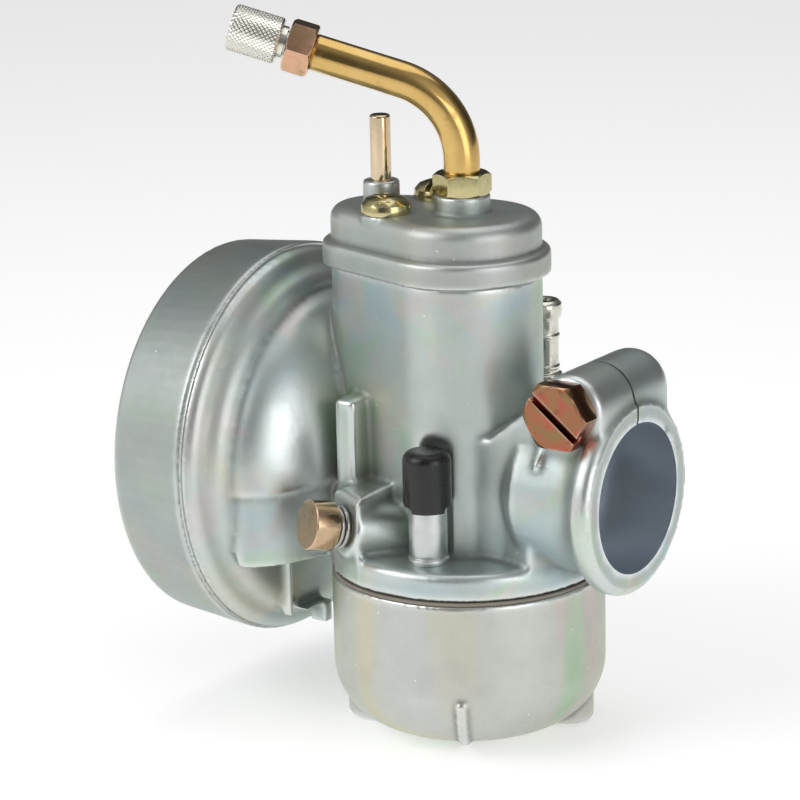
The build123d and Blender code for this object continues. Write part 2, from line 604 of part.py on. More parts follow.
def tickler_spring():
    x, y = TICKLER
    return Pos(x, y, 0) * coil(0.3, 1.65, -6.0, 4.0, 5.5)


def tickler_cap():
    x, y = TICKLER
    cap = cyl_z(3.85, -2.2, 7.4)
    cap = fillet(cap.edges().group_by(Axis.Z)[-1], 1.6)
    cap = cap - cyl_z(3.36, -3.0, 4.6) - cyl_z(1.3, 4.0, 6.0)
    notch = block(-2.6, 2.6, -5, 5, -2.3, -1.5)
    return Pos(x, y, 0) * (cap - Rot(0, 0, -56) * notch)


PIECES = {
    "body": body_casting,
    "intake_cup": intake_cup,
    "float_bowl": float_bowl,
    "bowl_gasket": bowl_gasket,
    "bowl_screws": bowl_screws,
    "bowl_washers": bowl_washers,
    "top_cover": top_cover,
    "cover_screws": cover_screws,
    "cable_elbow": cable_elbow,
    "elbow_nut": elbow_nut,
    "adjuster_locknut": adjuster_locknut,
    "cable_adjuster": cable_adjuster,
    "throttle_slide": throttle_slide,
    "slide_guide_pin": slide_guide_pin,
    "jet_needle": jet_needle,
    "needle_clip": needle_clip,
    "needle_retainer": needle_retainer,
    "throttle_spring": throttle_spring,
    "choke_rod": choke_rod,
    "choke_slide": choke_slide,
    "choke_spring": choke_spring,
    "jet_holder": jet_holder,
    "needle_jet": needle_jet,
    "main_jet": main_jet,
    "bowl_float": bowl_float,
    "float_arm": float_arm,
    "float_hinge_pin": float_hinge_pin,
    "needle_seat": needle_seat,
    "float_needle": float_needle,
    "fuel_inlet": fuel_inlet,
    "idle_screw": idle_screw,
    "idle_screw_spring": idle_screw_spring,
    "clamp_screw": clamp_screw,
    "tickler_sleeve": tickler_sleeve,
    "tickler_pin": tickler_pin,
    "tickler_spring": tickler_spring,
    "tickler_cap": tickler_cap,
}


def main():
    os.makedirs("parts", exist_ok=True)
    for name, make in PIECES.items():
        shape = Pos(-MOUTH_X, 0, 0) * make()
        solids = shape.solids()
        print(name, len(solids), [round(s.volume, 2) for s in solids][:6])
        export_step(Compound(children=list(solids), label=name), "parts/" + name + ".step")


main()
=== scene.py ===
"""Slide carburettor: cast, turned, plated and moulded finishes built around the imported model.

Every piece is made in metres in the model's own frame: +X out of the clamp spigot, +Z up along
the throttle slide, and the origin at the centre of the spigot's mouth.
"""
import json
import logging
import math
from dataclasses import dataclass, field
from enum import Enum
from typing import Any

import bpy
import numpy as np
from mathutils import Matrix, Vector

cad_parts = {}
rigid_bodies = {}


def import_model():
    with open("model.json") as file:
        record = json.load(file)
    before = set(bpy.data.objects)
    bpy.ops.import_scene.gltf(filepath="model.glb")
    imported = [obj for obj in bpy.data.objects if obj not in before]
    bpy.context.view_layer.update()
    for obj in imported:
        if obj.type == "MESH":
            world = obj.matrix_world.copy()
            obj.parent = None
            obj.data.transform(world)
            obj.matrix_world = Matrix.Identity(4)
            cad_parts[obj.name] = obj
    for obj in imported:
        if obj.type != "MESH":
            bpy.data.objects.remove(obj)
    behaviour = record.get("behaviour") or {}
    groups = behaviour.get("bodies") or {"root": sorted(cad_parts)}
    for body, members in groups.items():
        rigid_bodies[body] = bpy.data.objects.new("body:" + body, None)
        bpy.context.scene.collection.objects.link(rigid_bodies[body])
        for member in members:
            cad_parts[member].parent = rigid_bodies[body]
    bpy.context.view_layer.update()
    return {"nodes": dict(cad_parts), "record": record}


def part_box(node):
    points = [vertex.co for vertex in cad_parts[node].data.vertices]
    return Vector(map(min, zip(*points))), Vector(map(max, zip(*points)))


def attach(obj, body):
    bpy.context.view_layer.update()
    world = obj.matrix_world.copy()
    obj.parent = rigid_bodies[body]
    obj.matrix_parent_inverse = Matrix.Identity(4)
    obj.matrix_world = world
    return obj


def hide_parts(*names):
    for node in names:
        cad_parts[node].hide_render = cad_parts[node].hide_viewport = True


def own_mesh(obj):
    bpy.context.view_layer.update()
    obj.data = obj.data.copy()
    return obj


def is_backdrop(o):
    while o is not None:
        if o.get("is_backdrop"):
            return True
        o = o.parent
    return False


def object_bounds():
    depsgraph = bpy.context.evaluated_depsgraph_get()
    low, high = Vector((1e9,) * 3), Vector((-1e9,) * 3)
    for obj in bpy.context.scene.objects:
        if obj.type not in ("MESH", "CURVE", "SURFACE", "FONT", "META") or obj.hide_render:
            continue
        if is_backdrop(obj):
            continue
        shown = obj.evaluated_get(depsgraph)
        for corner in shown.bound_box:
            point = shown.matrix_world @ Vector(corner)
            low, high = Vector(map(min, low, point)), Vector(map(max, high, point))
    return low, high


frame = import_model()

MM = 0.001
MERGE = 2e-6                 # vertices nearer than this, in metres, are one
SPREADS = 2                  # times that an edge mark is spread to the vertices beside it
LOG = logging.getLogger("carburettor")
Colour = tuple[float, float, float]
Point = tuple[float, float, float]
PROBES = 6                   # rays by which a surface feels out its edges and slots
RIM_LEVELS = (0.12, 0.42)    # shut-in levels between a flat face and a sharp edge


# --- shader building --------------------------------------------------------------------------

class Value:
    """A socket that carries a number, with the arithmetic that adds Math nodes."""

    def __init__(self, nodes: "Nodes", socket: bpy.types.NodeSocket) -> None:
        """Wrap one output socket of a node tree."""
        self.nodes = nodes
        self.socket = socket

    def maths(self, operation: str, *others: Any) -> "Value":
        """The result of a Math node that starts with this value."""
        return self.nodes.maths(operation, self, *others)

    def __add__(self, other: Any) -> "Value":
        """Sum of two values."""
        return self.maths("ADD", other)

    __radd__ = __add__

    def __sub__(self, other: Any) -> "Value":
        """This value less another."""
        return self.maths("SUBTRACT", other)

    def __rsub__(self, other: Any) -> "Value":
        """Another value less this one."""
        return self.nodes.maths("SUBTRACT", other, self)

    def __mul__(self, other: Any) -> "Value":
        """Product of two values."""
        return self.maths("MULTIPLY", other)

    __rmul__ = __mul__

    def __truediv__(self, other: Any) -> "Value":
        """This value over another."""
        return self.maths("DIVIDE", other)

    def __rtruediv__(self, other: Any) -> "Value":
        """Another value over this one."""
        return self.nodes.maths("DIVIDE", other, self)

    def band(self, low: float, high: float) -> "Value":
        """Rise from 0 to 1 as this value goes from low to high."""
        return ((self - low) / (high - low)).maths("MINIMUM", 1.0).maths("MAXIMUM", 0.0)


class Nodes:
    """A node tree, with the one call that adds a node and the one that feeds a socket."""

    def __init__(self, tree: bpy.types.NodeTree) -> None:
        """Wrap a tree."""
        self.tree = tree

    def add(self, kind: str, settings: dict[str, Any] | None = None,
            inputs: dict[Any, Any] | None = None) -> bpy.types.Node:
        """Add a node, set its settings, then feed its sockets.

        Args:
            kind: the node's type.
            settings: attributes of the node, or a ramp's stops, set before its sockets.
            inputs: values or links by socket name or index.

        Returns:
            The node.
        """
        node = self.tree.nodes.new(kind)
        for key, value in (settings or {}).items():
            if key == "stops":
                self.set_stops(node.color_ramp.elements, value)
            else:
                setattr(node, key, value)
        for key, value in (inputs or {}).items():
            self.feed(node.inputs[key], value)
        return node

    def feed(self, socket: bpy.types.NodeSocket, value: Any) -> None:
        """Link a value or another socket to a socket, or set a plain number or colour on it."""
        if isinstance(value, Value):
            value = value.socket
        if isinstance(value, bpy.types.NodeSocket):
            self.tree.links.new(value, socket)
        else:
            socket.default_value = value

    def set_stops(self, elements: bpy.types.ColorRampElements, stops: Any) -> None:
        """Set a ramp's stops.

        Args:
            elements: the ramp's elements, of which it has two.
            stops: place and grey level of each stop, in order.
        """
        for _ in range(len(stops) - 2):
            elements.new(0.5)
        for element, (spot, level) in zip(elements, stops):
            element.position = spot
            element.color = (level, level, level, 1.0)

    def maths(self, operation: str, *operands: Any) -> Value:
        """The result of a Math node over its operands."""
        node = self.add("ShaderNodeMath", {"operation": operation}, dict(enumerate(operands)))
        return Value(self, node.outputs[0])


class Shader(Nodes):
    """A material with one Principled surface, and the patterns that the finishes share."""

    def __init__(self, name: str) -> None:
        """Start a material with a plain Principled surface."""
        self.material = bpy.data.materials.new(name)
        self.material.use_nodes = True
        super().__init__(self.material.node_tree)
        self.surface = self.tree.nodes["Principled BSDF"]

    def place(self, stretch: Point = (1.0, 1.0, 1.0),
              centre: Point = (0.0, 0.0, 0.0)) -> bpy.types.NodeSocket:
        """Object coordinates, centred on a point and stretched along each axis.

        Args:
            stretch: factor along X, Y and Z.
            centre: the point that becomes the pattern's origin.

        Returns:
            The vector socket.
        """
        coordinates = self.add("ShaderNodeTexCoord").outputs["Object"]
        shift = [-c * s for c, s in zip(centre, stretch)]
        mapping = self.add("ShaderNodeMapping", {}, {"Vector": coordinates, "Location": shift,
                                                     "Scale": stretch})
        return mapping.outputs["Vector"]

    def noise(self, place: bpy.types.NodeSocket, scale: float, detail: float = 2.0,
              rough: float = 0.5, twist: float = 0.0) -> Value:
        """Noise over a place, from 0 to 1 about a middle of one half.

        Args:
            place: the vector that the pattern follows.
            scale: grains in a metre.
            detail: how many finer layers it has.
            rough: how strong the finer layers are.
            twist: how much it is distorted.

        Returns:
            The pattern.
        """
        node = self.add("ShaderNodeTexNoise", {}, {"Vector": place, "Scale": scale, "Detail": detail,
                                                   "Roughness": rough, "Distortion": twist})
        return Value(self, node.outputs["Fac"])

    def cells(self, place: bpy.types.NodeSocket, scale: float) -> Value:
        """Distance to the nearest of scattered points."""
        node = self.add("ShaderNodeTexVoronoi", {}, {"Vector": place, "Scale": scale})
        return Value(self, node.outputs["Distance"])

    def cavity(self, reach: float) -> Value:
        """How shut-in the surface is within a distance, from 0 in the open to 1 in a slot."""
        node = self.add("ShaderNodeAmbientOcclusion", {"samples": PROBES, "only_local": True},
                        {"Distance": reach})
        return 1 - Value(self, node.outputs["AO"])

    def rim(self, reach: float) -> Value:
        """How near the surface is to an outer edge, from 0 on a flat to 1 along the edge."""
        settings = {"samples": PROBES, "only_local": True, "inside": True}
        node = self.add("ShaderNodeAmbientOcclusion", settings, {"Distance": reach})
        return (1 - Value(self, node.outputs["AO"])).band(*RIM_LEVELS)

    def attribute(self, name: str) -> Value:
        """A number stored on the piece's vertices."""
        return Value(self, self.add("ShaderNodeAttribute", {"attribute_name": name}).outputs["Fac"])

    def mix(self, share: Any, first: Any, second: Any) -> bpy.types.NodeSocket:
        """Mix two colours.

        Args:
            share: how much of the second, a value or a number.
            first: colour or socket.
            second: colour or socket.

        Returns:
            The colour socket.
        """
        colours = [(*c, 1.0) if isinstance(c, tuple) else c for c in (first, second)]
        node = self.add("ShaderNodeMix", {"data_type": "RGBA"}, {0: share, 6: colours[0], 7: colours[1]})
        return node.outputs[2]

    def bump(self, height: Value, depth: float, strength: float = 1.0) -> bpy.types.NodeSocket:
        """Surface normal shaped by a height, with the depth in metres."""
        node = self.add("ShaderNodeBump", {}, {"Height": height, "Distance": depth,
                                               "Strength": strength})
        return node.outputs["Normal"]

    def finish(self, colour: Any, rough: Any, normal: bpy.types.NodeSocket | None = None,
               **fixed: float) -> bpy.types.Material:
        """Feed the surface and return the material.

        Args:
            colour: base colour socket.
            rough: roughness, a value or a number.
            normal: normal socket, if the surface has relief.
            fixed: further numbers, by the socket's name with underscores.

        Returns:
            The material.
        """
        self.feed(self.surface.inputs["Base Color"], colour)
        self.surface.inputs["Emission Color"].default_value = (1.0, 1.0, 1.0, 1.0)
        self.feed(self.surface.inputs["Roughness"], rough)
        if normal is not None:
            self.feed(self.surface.inputs["Normal"], normal)
        for key, number in fixed.items():
            self.surface.inputs[key.replace("_", " ")].default_value = number
        return self.material


# --- finishes ----------------------------------------------------------------------------------

@dataclass(frozen=True)
class Cloud:
    """Soft patches of a pattern: noise taken between two of its levels."""

    scale: float
    low: float
    high: float
    most: float = 1.0
    detail: float = 2.0
    rough: float = 0.5
    twist: float = 0.0

    def share(self, shader: Shader, place: bpy.types.NodeSocket) -> Value:
        """How much of the cloud shows at each point, from 0 to its most."""
        noise = shader.noise(place, self.scale, self.detail, self.rough, self.twist)
        return noise.band(self.low, self.high) * self.most


ICE_CLOUD = Cloud(38, 0.42, 0.62, twist=0.6)
CREAM_CLOUD = Cloud(52, 0.50, 0.66, 0.85, 1.5, twist=1.2)
LEAF_CLOUD = Cloud(61, 0.53, 0.64, 0.75, 1.5, twist=1.2)
ROSE_CLOUD = Cloud(73, 0.55, 0.66, 0.60, 1.5, twist=1.2)


@dataclass(frozen=True)
class CastFinish:
    """Satin die casting under a thin passivation film that drifts between pale tints."""

    name: str
    grey: Colour = (0.50, 0.555, 0.525)
    ice: Colour = (0.44, 0.55, 0.58)
    cream: Colour = (0.58, 0.575, 0.47)
    leaf: Colour = (0.43, 0.58, 0.43)
    rose: Colour = (0.58, 0.52, 0.52)
    rough: float = 0.46
    film: float = 1.0
    stretch: Point = (1.0, 1.0, 1.0)
    centre: Point = (0.0, 0.0, 0.0)
    # colour of the painted highlight on the hood's dome
    bright: Colour = (0.88, 0.92, 0.92)
    bored: Colour = (0.66, 0.72, 0.78)
    patch: Colour = (0.30, 0.31, 0.30)
    speck: Colour = (0.86, 0.88, 0.88)
    worn: Colour = (0.80, 0.82, 0.81)
    # colour of the painted shade in concave corners and creases
    crease_shade: Colour = (0.16, 0.17, 0.165)
    relief: float = 0.045 * MM

    def material(self) -> bpy.types.Material:
        """Make the casting's material: film tints, cast skin, bright edges, a painted dome highlight and
        painted shade in corners.

        Returns:
            The material.
        """
        shader = Shader(self.name)
        wide = shader.place(self.stretch, self.centre)
        near = shader.place()
        colour = shader.mix(ICE_CLOUD.share(shader, wide), self.grey, self.ice)
        for tint, cloud in ((self.cream, CREAM_CLOUD), (self.leaf, LEAF_CLOUD), (self.rose, ROSE_CLOUD)):
            colour = shader.mix(cloud.share(shader, wide) * self.film, colour, tint)
        patches = shader.noise(near, 260, 4, 0.6)
        colour = shader.mix(patches.band(0.35, 0.75) * 0.16, colour, self.patch)
        specks = 1 - shader.cells(near, 520).band(0.05, 0.11)
        chosen = Cloud(170, 0.60, 0.64, 0.75, 1).share(shader, near)
        colour = shader.mix(specks * chosen, colour, self.speck)
        edge, corner = shader.attribute("edge"), shader.attribute("corner")
        burnish, bore = shader.attribute("burnish"), shader.attribute("bore")
        # painted highlight: a bright patch on the hood's dome where a lamp's reflection falls
        colour = shader.mix(burnish * 0.8, colour, self.bright)
        colour = shader.mix(bore, colour, self.bored)
        colour = shader.mix(edge * 0.55, colour, self.worn)
        # painted shade: concave corners and creases are darkened where shade falls
        colour = shader.mix(corner * 0.55, colour, self.crease_shade)
        grain = shader.noise(near, 2600, 3, 0.6)
        rough = self.rough + (grain - 0.5) * 0.16 + (patches - 0.5) * 0.16
        rough = rough - edge * 0.12 + corner * 0.15 - burnish * 0.10 - bore * 0.10
        height = grain * 0.35 + shader.noise(near, 210, 2) * 1.6 + shader.noise(near, 900, 2) * 0.45
        return shader.finish(colour, rough, shader.bump(height, self.relief, 0.8), Metallic=0.94)


@dataclass(frozen=True)
class PlatedFinish:
    """Bright plating: a main colour, a second tint in clouds, fine scratches and worn edges."""

    name: str
    main: Colour
    cloud: Colour
    worn: Colour
    # colour of the stains, and of the painted shade in slots and crevices
    dark: Colour = (0.05, 0.04, 0.03)
    rough: float = 0.18
    cloudiness: float = 0.6
    cloud_scale: float = 330.0
    scratch: Point = (1.0, 1.0, 1.0)
    scratch_depth: float = 0.004
    stain: float = 0.35
    # strength of the painted shade in slots and crevices
    slot_shade: float = 0.9
    cavity_reach: float = 1.3 * MM
    edge_reach: float = 0.4 * MM

    def material(self) -> bpy.types.Material:
        """Make the plated material: clouds, stains, worn edges, painted shade in slots and fine
        scratches.

        Returns:
            The material.
        """
        shader = Shader(self.name)
        near = shader.place()
        clouds = shader.noise(near, self.cloud_scale, 3, 0.55, 0.8).band(0.38, 0.64)
        colour = shader.mix(clouds * self.cloudiness, self.main, self.cloud)
        stains = shader.noise(near, self.cloud_scale * 2.7, 3, 0.6).band(0.56, 0.74)
        colour = shader.mix(stains * self.stain, colour, self.dark)
        colour = shader.mix(shader.rim(self.edge_reach) * 0.55, colour, self.worn)
        # painted shade: slots and crevices are darkened where shade falls
        slot = shader.cavity(self.cavity_reach).band(0.34, 0.66) * self.slot_shade
        colour = shader.mix(slot, colour, self.dark)
        lines = shader.noise(shader.place(self.scratch), 900, 3, 0.65)
        rough = self.rough + (lines - 0.5) * 0.14 + stains * 0.12 + slot * 0.30
        height = lines + shader.noise(near, 420, 2) * 1.5
        return shader.finish(colour, rough, shader.bump(height, self.scratch_depth * MM, 0.7),
                             Metallic=1.0)


@dataclass(frozen=True)
class MouldedFinish:
    """Rubber, plastic or gasket paper: a matt surface with mottling and a fine skin."""

    name: str
    main: Colour
    cloud: Colour
    rough: float = 0.5
    skin: float = 0.02
    grain_scale: float = 1900.0
    polish: float = 0.0

    def material(self) -> bpy.types.Material:
        """Make the moulded material: mottling, paler edges and a fine skin.

        Returns:
            The material.
        """
        shader = Shader(self.name)
        near = shader.place()
        clouds = shader.noise(near, 300, 3, 0.6).band(0.35, 0.7)
        colour = shader.mix(clouds * 0.7, self.main, self.cloud)
        edge = shader.rim(0.5 * MM)
        colour = shader.mix(edge * 0.35, colour, tuple(min(1.0, c * 1.8 + 0.02) for c in self.cloud))
        grain = shader.noise(near, self.grain_scale, 4, 0.65)
        rough = self.rough + (grain - 0.5) * 0.22 - edge * self.polish
        return shader.finish(colour, rough, shader.bump(grain, self.skin * MM, 0.8), Metallic=0.0)


class Finish(Enum):
    """The finishes on this carburettor: the record's material slots, and the cup's duller cast."""

    CAST_BODY = "cast_body"
    CAST_BOWL = "cast_bowl"
    CAST_COVER = "cast_cover"
    MACHINED = "machined"
    SLIDE_METAL = "slide_metal"
    BRASS = "brass"
    YELLOW_ZINC = "yellow_zinc"
    COPPER_ZINC = "copper_zinc"
    NICKEL = "nickel"
    SPRING_STEEL = "spring_steel"
    STEEL = "steel"
    GASKET = "gasket"
    FLOAT_PLASTIC = "float_plastic"
    BLACK_RUBBER = "black_rubber"
    CAST_CUP = "cast_cup"


BOWL_AXIS = tuple((low + high) / 2 for low, high in zip(*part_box("bowl_gasket")))

FINISHES = {
    Finish.CAST_BODY: CastFinish("satin_casting"),
    Finish.CAST_CUP: CastFinish(
        "dull_casting", grey=(0.41, 0.45, 0.43), ice=(0.37, 0.42, 0.43), cream=(0.48, 0.475, 0.37),
        leaf=(0.37, 0.47, 0.37), rose=(0.44, 0.42, 0.41), rough=0.48, film=0.55),
    Finish.CAST_BOWL: CastFinish(
        "warm_casting", grey=(0.53, 0.555, 0.485), ice=(0.55, 0.56, 0.54), cream=(0.59, 0.565, 0.43),
        leaf=(0.41, 0.57, 0.39), rose=(0.57, 0.50, 0.48), rough=0.44, film=1.15,
        stretch=(1.0, 1.0, 0.16), centre=BOWL_AXIS),
    Finish.CAST_COVER: CastFinish(
        "matt_casting", grey=(0.46, 0.49, 0.455), ice=(0.44, 0.49, 0.48), cream=(0.50, 0.47, 0.38),
        leaf=(0.42, 0.49, 0.42), rose=(0.48, 0.43, 0.43), rough=0.48, film=0.5),
    Finish.MACHINED: PlatedFinish(
        "turned_aluminium", (0.62, 0.64, 0.63), (0.52, 0.55, 0.55), (0.82, 0.83, 0.82), rough=0.34,
        cloudiness=0.4, scratch=(0.2, 0.2, 6.0), stain=0.10),
    Finish.SLIDE_METAL: PlatedFinish(
        "bright_slide", (0.66, 0.67, 0.68), (0.56, 0.58, 0.60), (0.85, 0.86, 0.87), rough=0.16,
        scratch=(6.0, 6.0, 0.2), stain=0.12),
    Finish.BRASS: PlatedFinish(
        "polished_brass", (0.66, 0.45, 0.165), (0.54, 0.34, 0.10), (0.80, 0.62, 0.30),
        dark=(0.16, 0.08, 0.02), rough=0.17, cloudiness=0.45, cloud_scale=150.0, stain=0.22,
        scratch_depth=0.003),
    Finish.YELLOW_ZINC: PlatedFinish(
        "yellow_zinc", (0.58, 0.50, 0.27), (0.45, 0.43, 0.20), (0.86, 0.79, 0.58),
        dark=(0.09, 0.07, 0.03), rough=0.15, stain=0.25),
    Finish.COPPER_ZINC: PlatedFinish(
        "copper_zinc", (0.66, 0.38, 0.25), (0.50, 0.36, 0.19), (0.90, 0.74, 0.58),
        dark=(0.07, 0.03, 0.02), rough=0.18, cloudiness=0.75, stain=0.30),
    Finish.NICKEL: PlatedFinish(
        "pale_nickel", (0.72, 0.70, 0.62), (0.62, 0.61, 0.54), (0.93, 0.92, 0.87),
        dark=(0.13, 0.12, 0.09), rough=0.22, stain=0.15),
    Finish.SPRING_STEEL: PlatedFinish(
        "spring_wire", (0.44, 0.43, 0.42), (0.34, 0.32, 0.30), (0.78, 0.76, 0.72), rough=0.20),
    Finish.STEEL: PlatedFinish(
        "ground_steel", (0.52, 0.52, 0.51), (0.44, 0.45, 0.46), (0.80, 0.80, 0.79), rough=0.26,
        scratch=(5.0, 0.4, 0.4)),
    Finish.GASKET: MouldedFinish("gasket_paper", (0.16, 0.14, 0.12), (0.24, 0.22, 0.18), rough=0.85,
                                 skin=0.03),
    Finish.FLOAT_PLASTIC: MouldedFinish("float_plastic", (0.78, 0.74, 0.62), (0.70, 0.66, 0.54),
                                        rough=0.42),
    Finish.BLACK_RUBBER: MouldedFinish("black_rubber", (0.006, 0.006, 0.006), (0.012, 0.011, 0.010),
                                       rough=0.30, skin=0.010, polish=0.08),
}
CLAMP_PLATING = PlatedFinish(
    "red_iridescent_zinc", (0.40, 0.11, 0.075), (0.21, 0.19, 0.08), (0.80, 0.58, 0.44),
    dark=(0.035, 0.014, 0.01), rough=0.16, cloudiness=0.75, cloud_scale=240.0, stain=0.4)
IDLE_PLATING = PlatedFinish(
    "olive_copper_zinc", (0.60, 0.41, 0.27), (0.44, 0.35, 0.20), (0.95, 0.74, 0.55),
    dark=(0.06, 0.035, 0.02), rough=0.20, cloudiness=0.6, stain=0.20)
ROD_PLATING = PlatedFinish(
    "pale_gold_zinc", (0.70, 0.56, 0.38), (0.56, 0.46, 0.30), (0.92, 0.84, 0.70),
    dark=(0.10, 0.07, 0.04), rough=0.10, cloudiness=0.4, scratch=(6.0, 6.0, 0.2), stain=0.12)
MATERIALS: dict[str, bpy.types.Material] = {}
SLOT_OF = {row["node"]: row["material_slot"] for row in frame["record"]["subparts"]}
BODY_OF = {node: body for body, nodes in frame["record"]["behaviour"]["bodies"].items()
           for node in nodes}


def material_for(finish: Any) -> bpy.types.Material:
    """The one material made from a finish, or from a named finish of the record."""
    chosen = FINISHES[finish] if isinstance(finish, Finish) else finish
    if chosen.name not in MATERIALS:
        MATERIALS[chosen.name] = chosen.material()
    return MATERIALS[chosen.name]


# --- mesh work ---------------------------------------------------------------------------------

def only(piece: bpy.types.Object) -> None:
    """Leave one object selected and active, in object mode."""
    if bpy.context.mode != "OBJECT":
        bpy.ops.object.mode_set(mode="OBJECT")
    bpy.ops.object.select_all(action="DESELECT")
    piece.select_set(True)
    bpy.context.view_layer.objects.active = piece


def editing(piece: bpy.types.Object) -> None:
    """Enter edit mode on a piece with everything selected."""
    only(piece)
    bpy.ops.object.mode_set(mode="EDIT")
    bpy.ops.mesh.select_all(action="SELECT")


class Piece:
    """One visible piece: a mesh in place, its modifiers applied, its edges marked and dressed."""

    def __init__(self, thing: bpy.types.Object) -> None:
        """Take over an object."""
        self.thing = thing

    @classmethod
    def from_node(cls, node: str) -> "Piece":
        """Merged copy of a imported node, named after it."""
        mesh = frame["nodes"][node].data.copy()
        mesh.materials.clear()
        thing = bpy.data.objects.new(node + "_visual", mesh)
        bpy.context.scene.collection.objects.link(thing)
        editing(thing)
        bpy.ops.mesh.remove_doubles(threshold=MERGE)
        bpy.ops.mesh.customdata_custom_splitnormals_clear()
        bpy.ops.object.mode_set(mode="OBJECT")
        return cls(thing)

    def modify(self, kind: str, **settings: Any) -> "Piece":
        """Add a modifier with its settings and apply it.

        Args:
            kind: the modifier's type.
            settings: its attributes.

        Returns:
            The piece itself.
        """
        only(self.thing)
        modifier = self.thing.modifiers.new(kind.lower(), kind)
        for key, value in settings.items():
            setattr(modifier, key, value)
        bpy.ops.object.modifier_apply(modifier=modifier.name)
        return self

    def cast(self, grain: float, rounds: int) -> "Piece":
        """Rebuild as an even skin and relax it, which rounds every edge as a casting's are."""
        self.modify("REMESH", mode="VOXEL", voxel_size=grain, use_smooth_shade=True)
        return self.modify("SMOOTH", factor=0.5, iterations=rounds)

    def bevel(self, width: float, segments: int = 2) -> "Piece":
        """Round the edges that turn sharply."""
        return self.modify("BEVEL", width=width, segments=segments, limit_method="ANGLE",
                           angle_limit=math.radians(28.0), harden_normals=False,
                           use_clamp_overlap=True)

    def cut(self, cutter: bpy.types.Object) -> "Piece":
        """Take a cutter's shape out of the piece, then delete the cutter."""
        self.modify("BOOLEAN", operation="DIFFERENCE", object=cutter, solver="EXACT")
        bpy.data.objects.remove(cutter, do_unlink=True)
        return self

    def points(self) -> np.ndarray:
        """Vertex places as an array of rows."""
        mesh = self.thing.data
        flat = np.empty(len(mesh.vertices) * 3)
        mesh.vertices.foreach_get("co", flat)
        return flat.reshape(-1, 3)

    def place_points(self, points: np.ndarray) -> "Piece":
        """Write vertex places back."""
        self.thing.data.vertices.foreach_set("co", points.ravel())
        self.thing.data.update()
        return self

    def mark(self, reach: float) -> "Piece":
        """Store how far each vertex stands out of, or sinks into, its neighbours.

        Args:
            reach: the offset in metres that counts as a full edge.

        Returns:
            The piece itself, with "edge" and "corner" attributes from 0 to 1.
        """
        mesh = self.thing.data
        points = self.points()
        pairs = np.empty(len(mesh.edges) * 2, dtype=np.int32)
        mesh.edges.foreach_get("vertices", pairs)
        first, second = pairs.reshape(-1, 2).T
        normals = np.empty(len(points) * 3)
        mesh.vertices.foreach_get("normal", normals)
        normals = normals.reshape(-1, 3)
        count = np.bincount(np.concatenate([first, second]), minlength=len(points)).clip(1)
        total = np.zeros_like(points)
        np.add.at(total, first, points[second])
        np.add.at(total, second, points[first])
        stand = ((points - total / count[:, None]) * normals).sum(axis=1)
        for _ in range(SPREADS):
            spread = np.zeros(len(points))
            np.add.at(spread, first, stand[second])
            np.add.at(spread, second, stand[first])
            stand = 0.5 * stand + 0.5 * spread / count
        for name, sign in (("edge", 1.0), ("corner", -1.0)):
            layer = mesh.attributes.new(name, "FLOAT", "POINT")
            layer.data.foreach_set("value", (sign * stand / reach).clip(0.0, 1.0).astype(np.float32))
        return self

    def shade(self, angle: float = 38.0) -> "Piece":
        """Shade smooth, except across sharper turns than the angle."""
        only(self.thing)
        bpy.ops.object.shade_smooth_by_angle(angle=math.radians(angle))
        return self

    def dress(self, finish: Any) -> "Piece":
        """Give the whole piece one finish."""
        self.thing.data.materials.clear()
        self.thing.data.materials.append(material_for(finish))
        return self

    def settle(self, node: str) -> "Piece":
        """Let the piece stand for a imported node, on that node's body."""
        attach(self.thing, BODY_OF[node])
        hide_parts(node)
        mesh = self.thing.data
        mesh.calc_loop_triangles()
        LOG.info("%s: %d triangles, for %s", self.thing.name, len(mesh.loop_triangles), node)
        return self


def block(low: Point, high: Point) -> bpy.types.Object:
    """Make a box to cut with or to fill with.

    Args:
        low: its lowest corner.
        high: its highest corner.

    Returns:
        The box.
    """
    centre = [(a + b) / 2 for a, b in zip(low, high)]
    deselect_all()
    bpy.ops.mesh.primitive_cube_add(size=1.0, location=centre)
    cutter = bpy.context.object
    cutter.scale = [b - a for a, b in zip(low, high)]
    bpy.ops.object.transform_apply(location=True, rotation=True, scale=True)
    return cutter


def deselect_all() -> None:
    """Deselect everything, in object mode."""
    if bpy.context.object and bpy.context.mode != "OBJECT":
        bpy.ops.object.mode_set(mode="OBJECT")
    bpy.ops.object.select_all(action="DESELECT")


# --- castings ----------------------------------------------------------------------------------

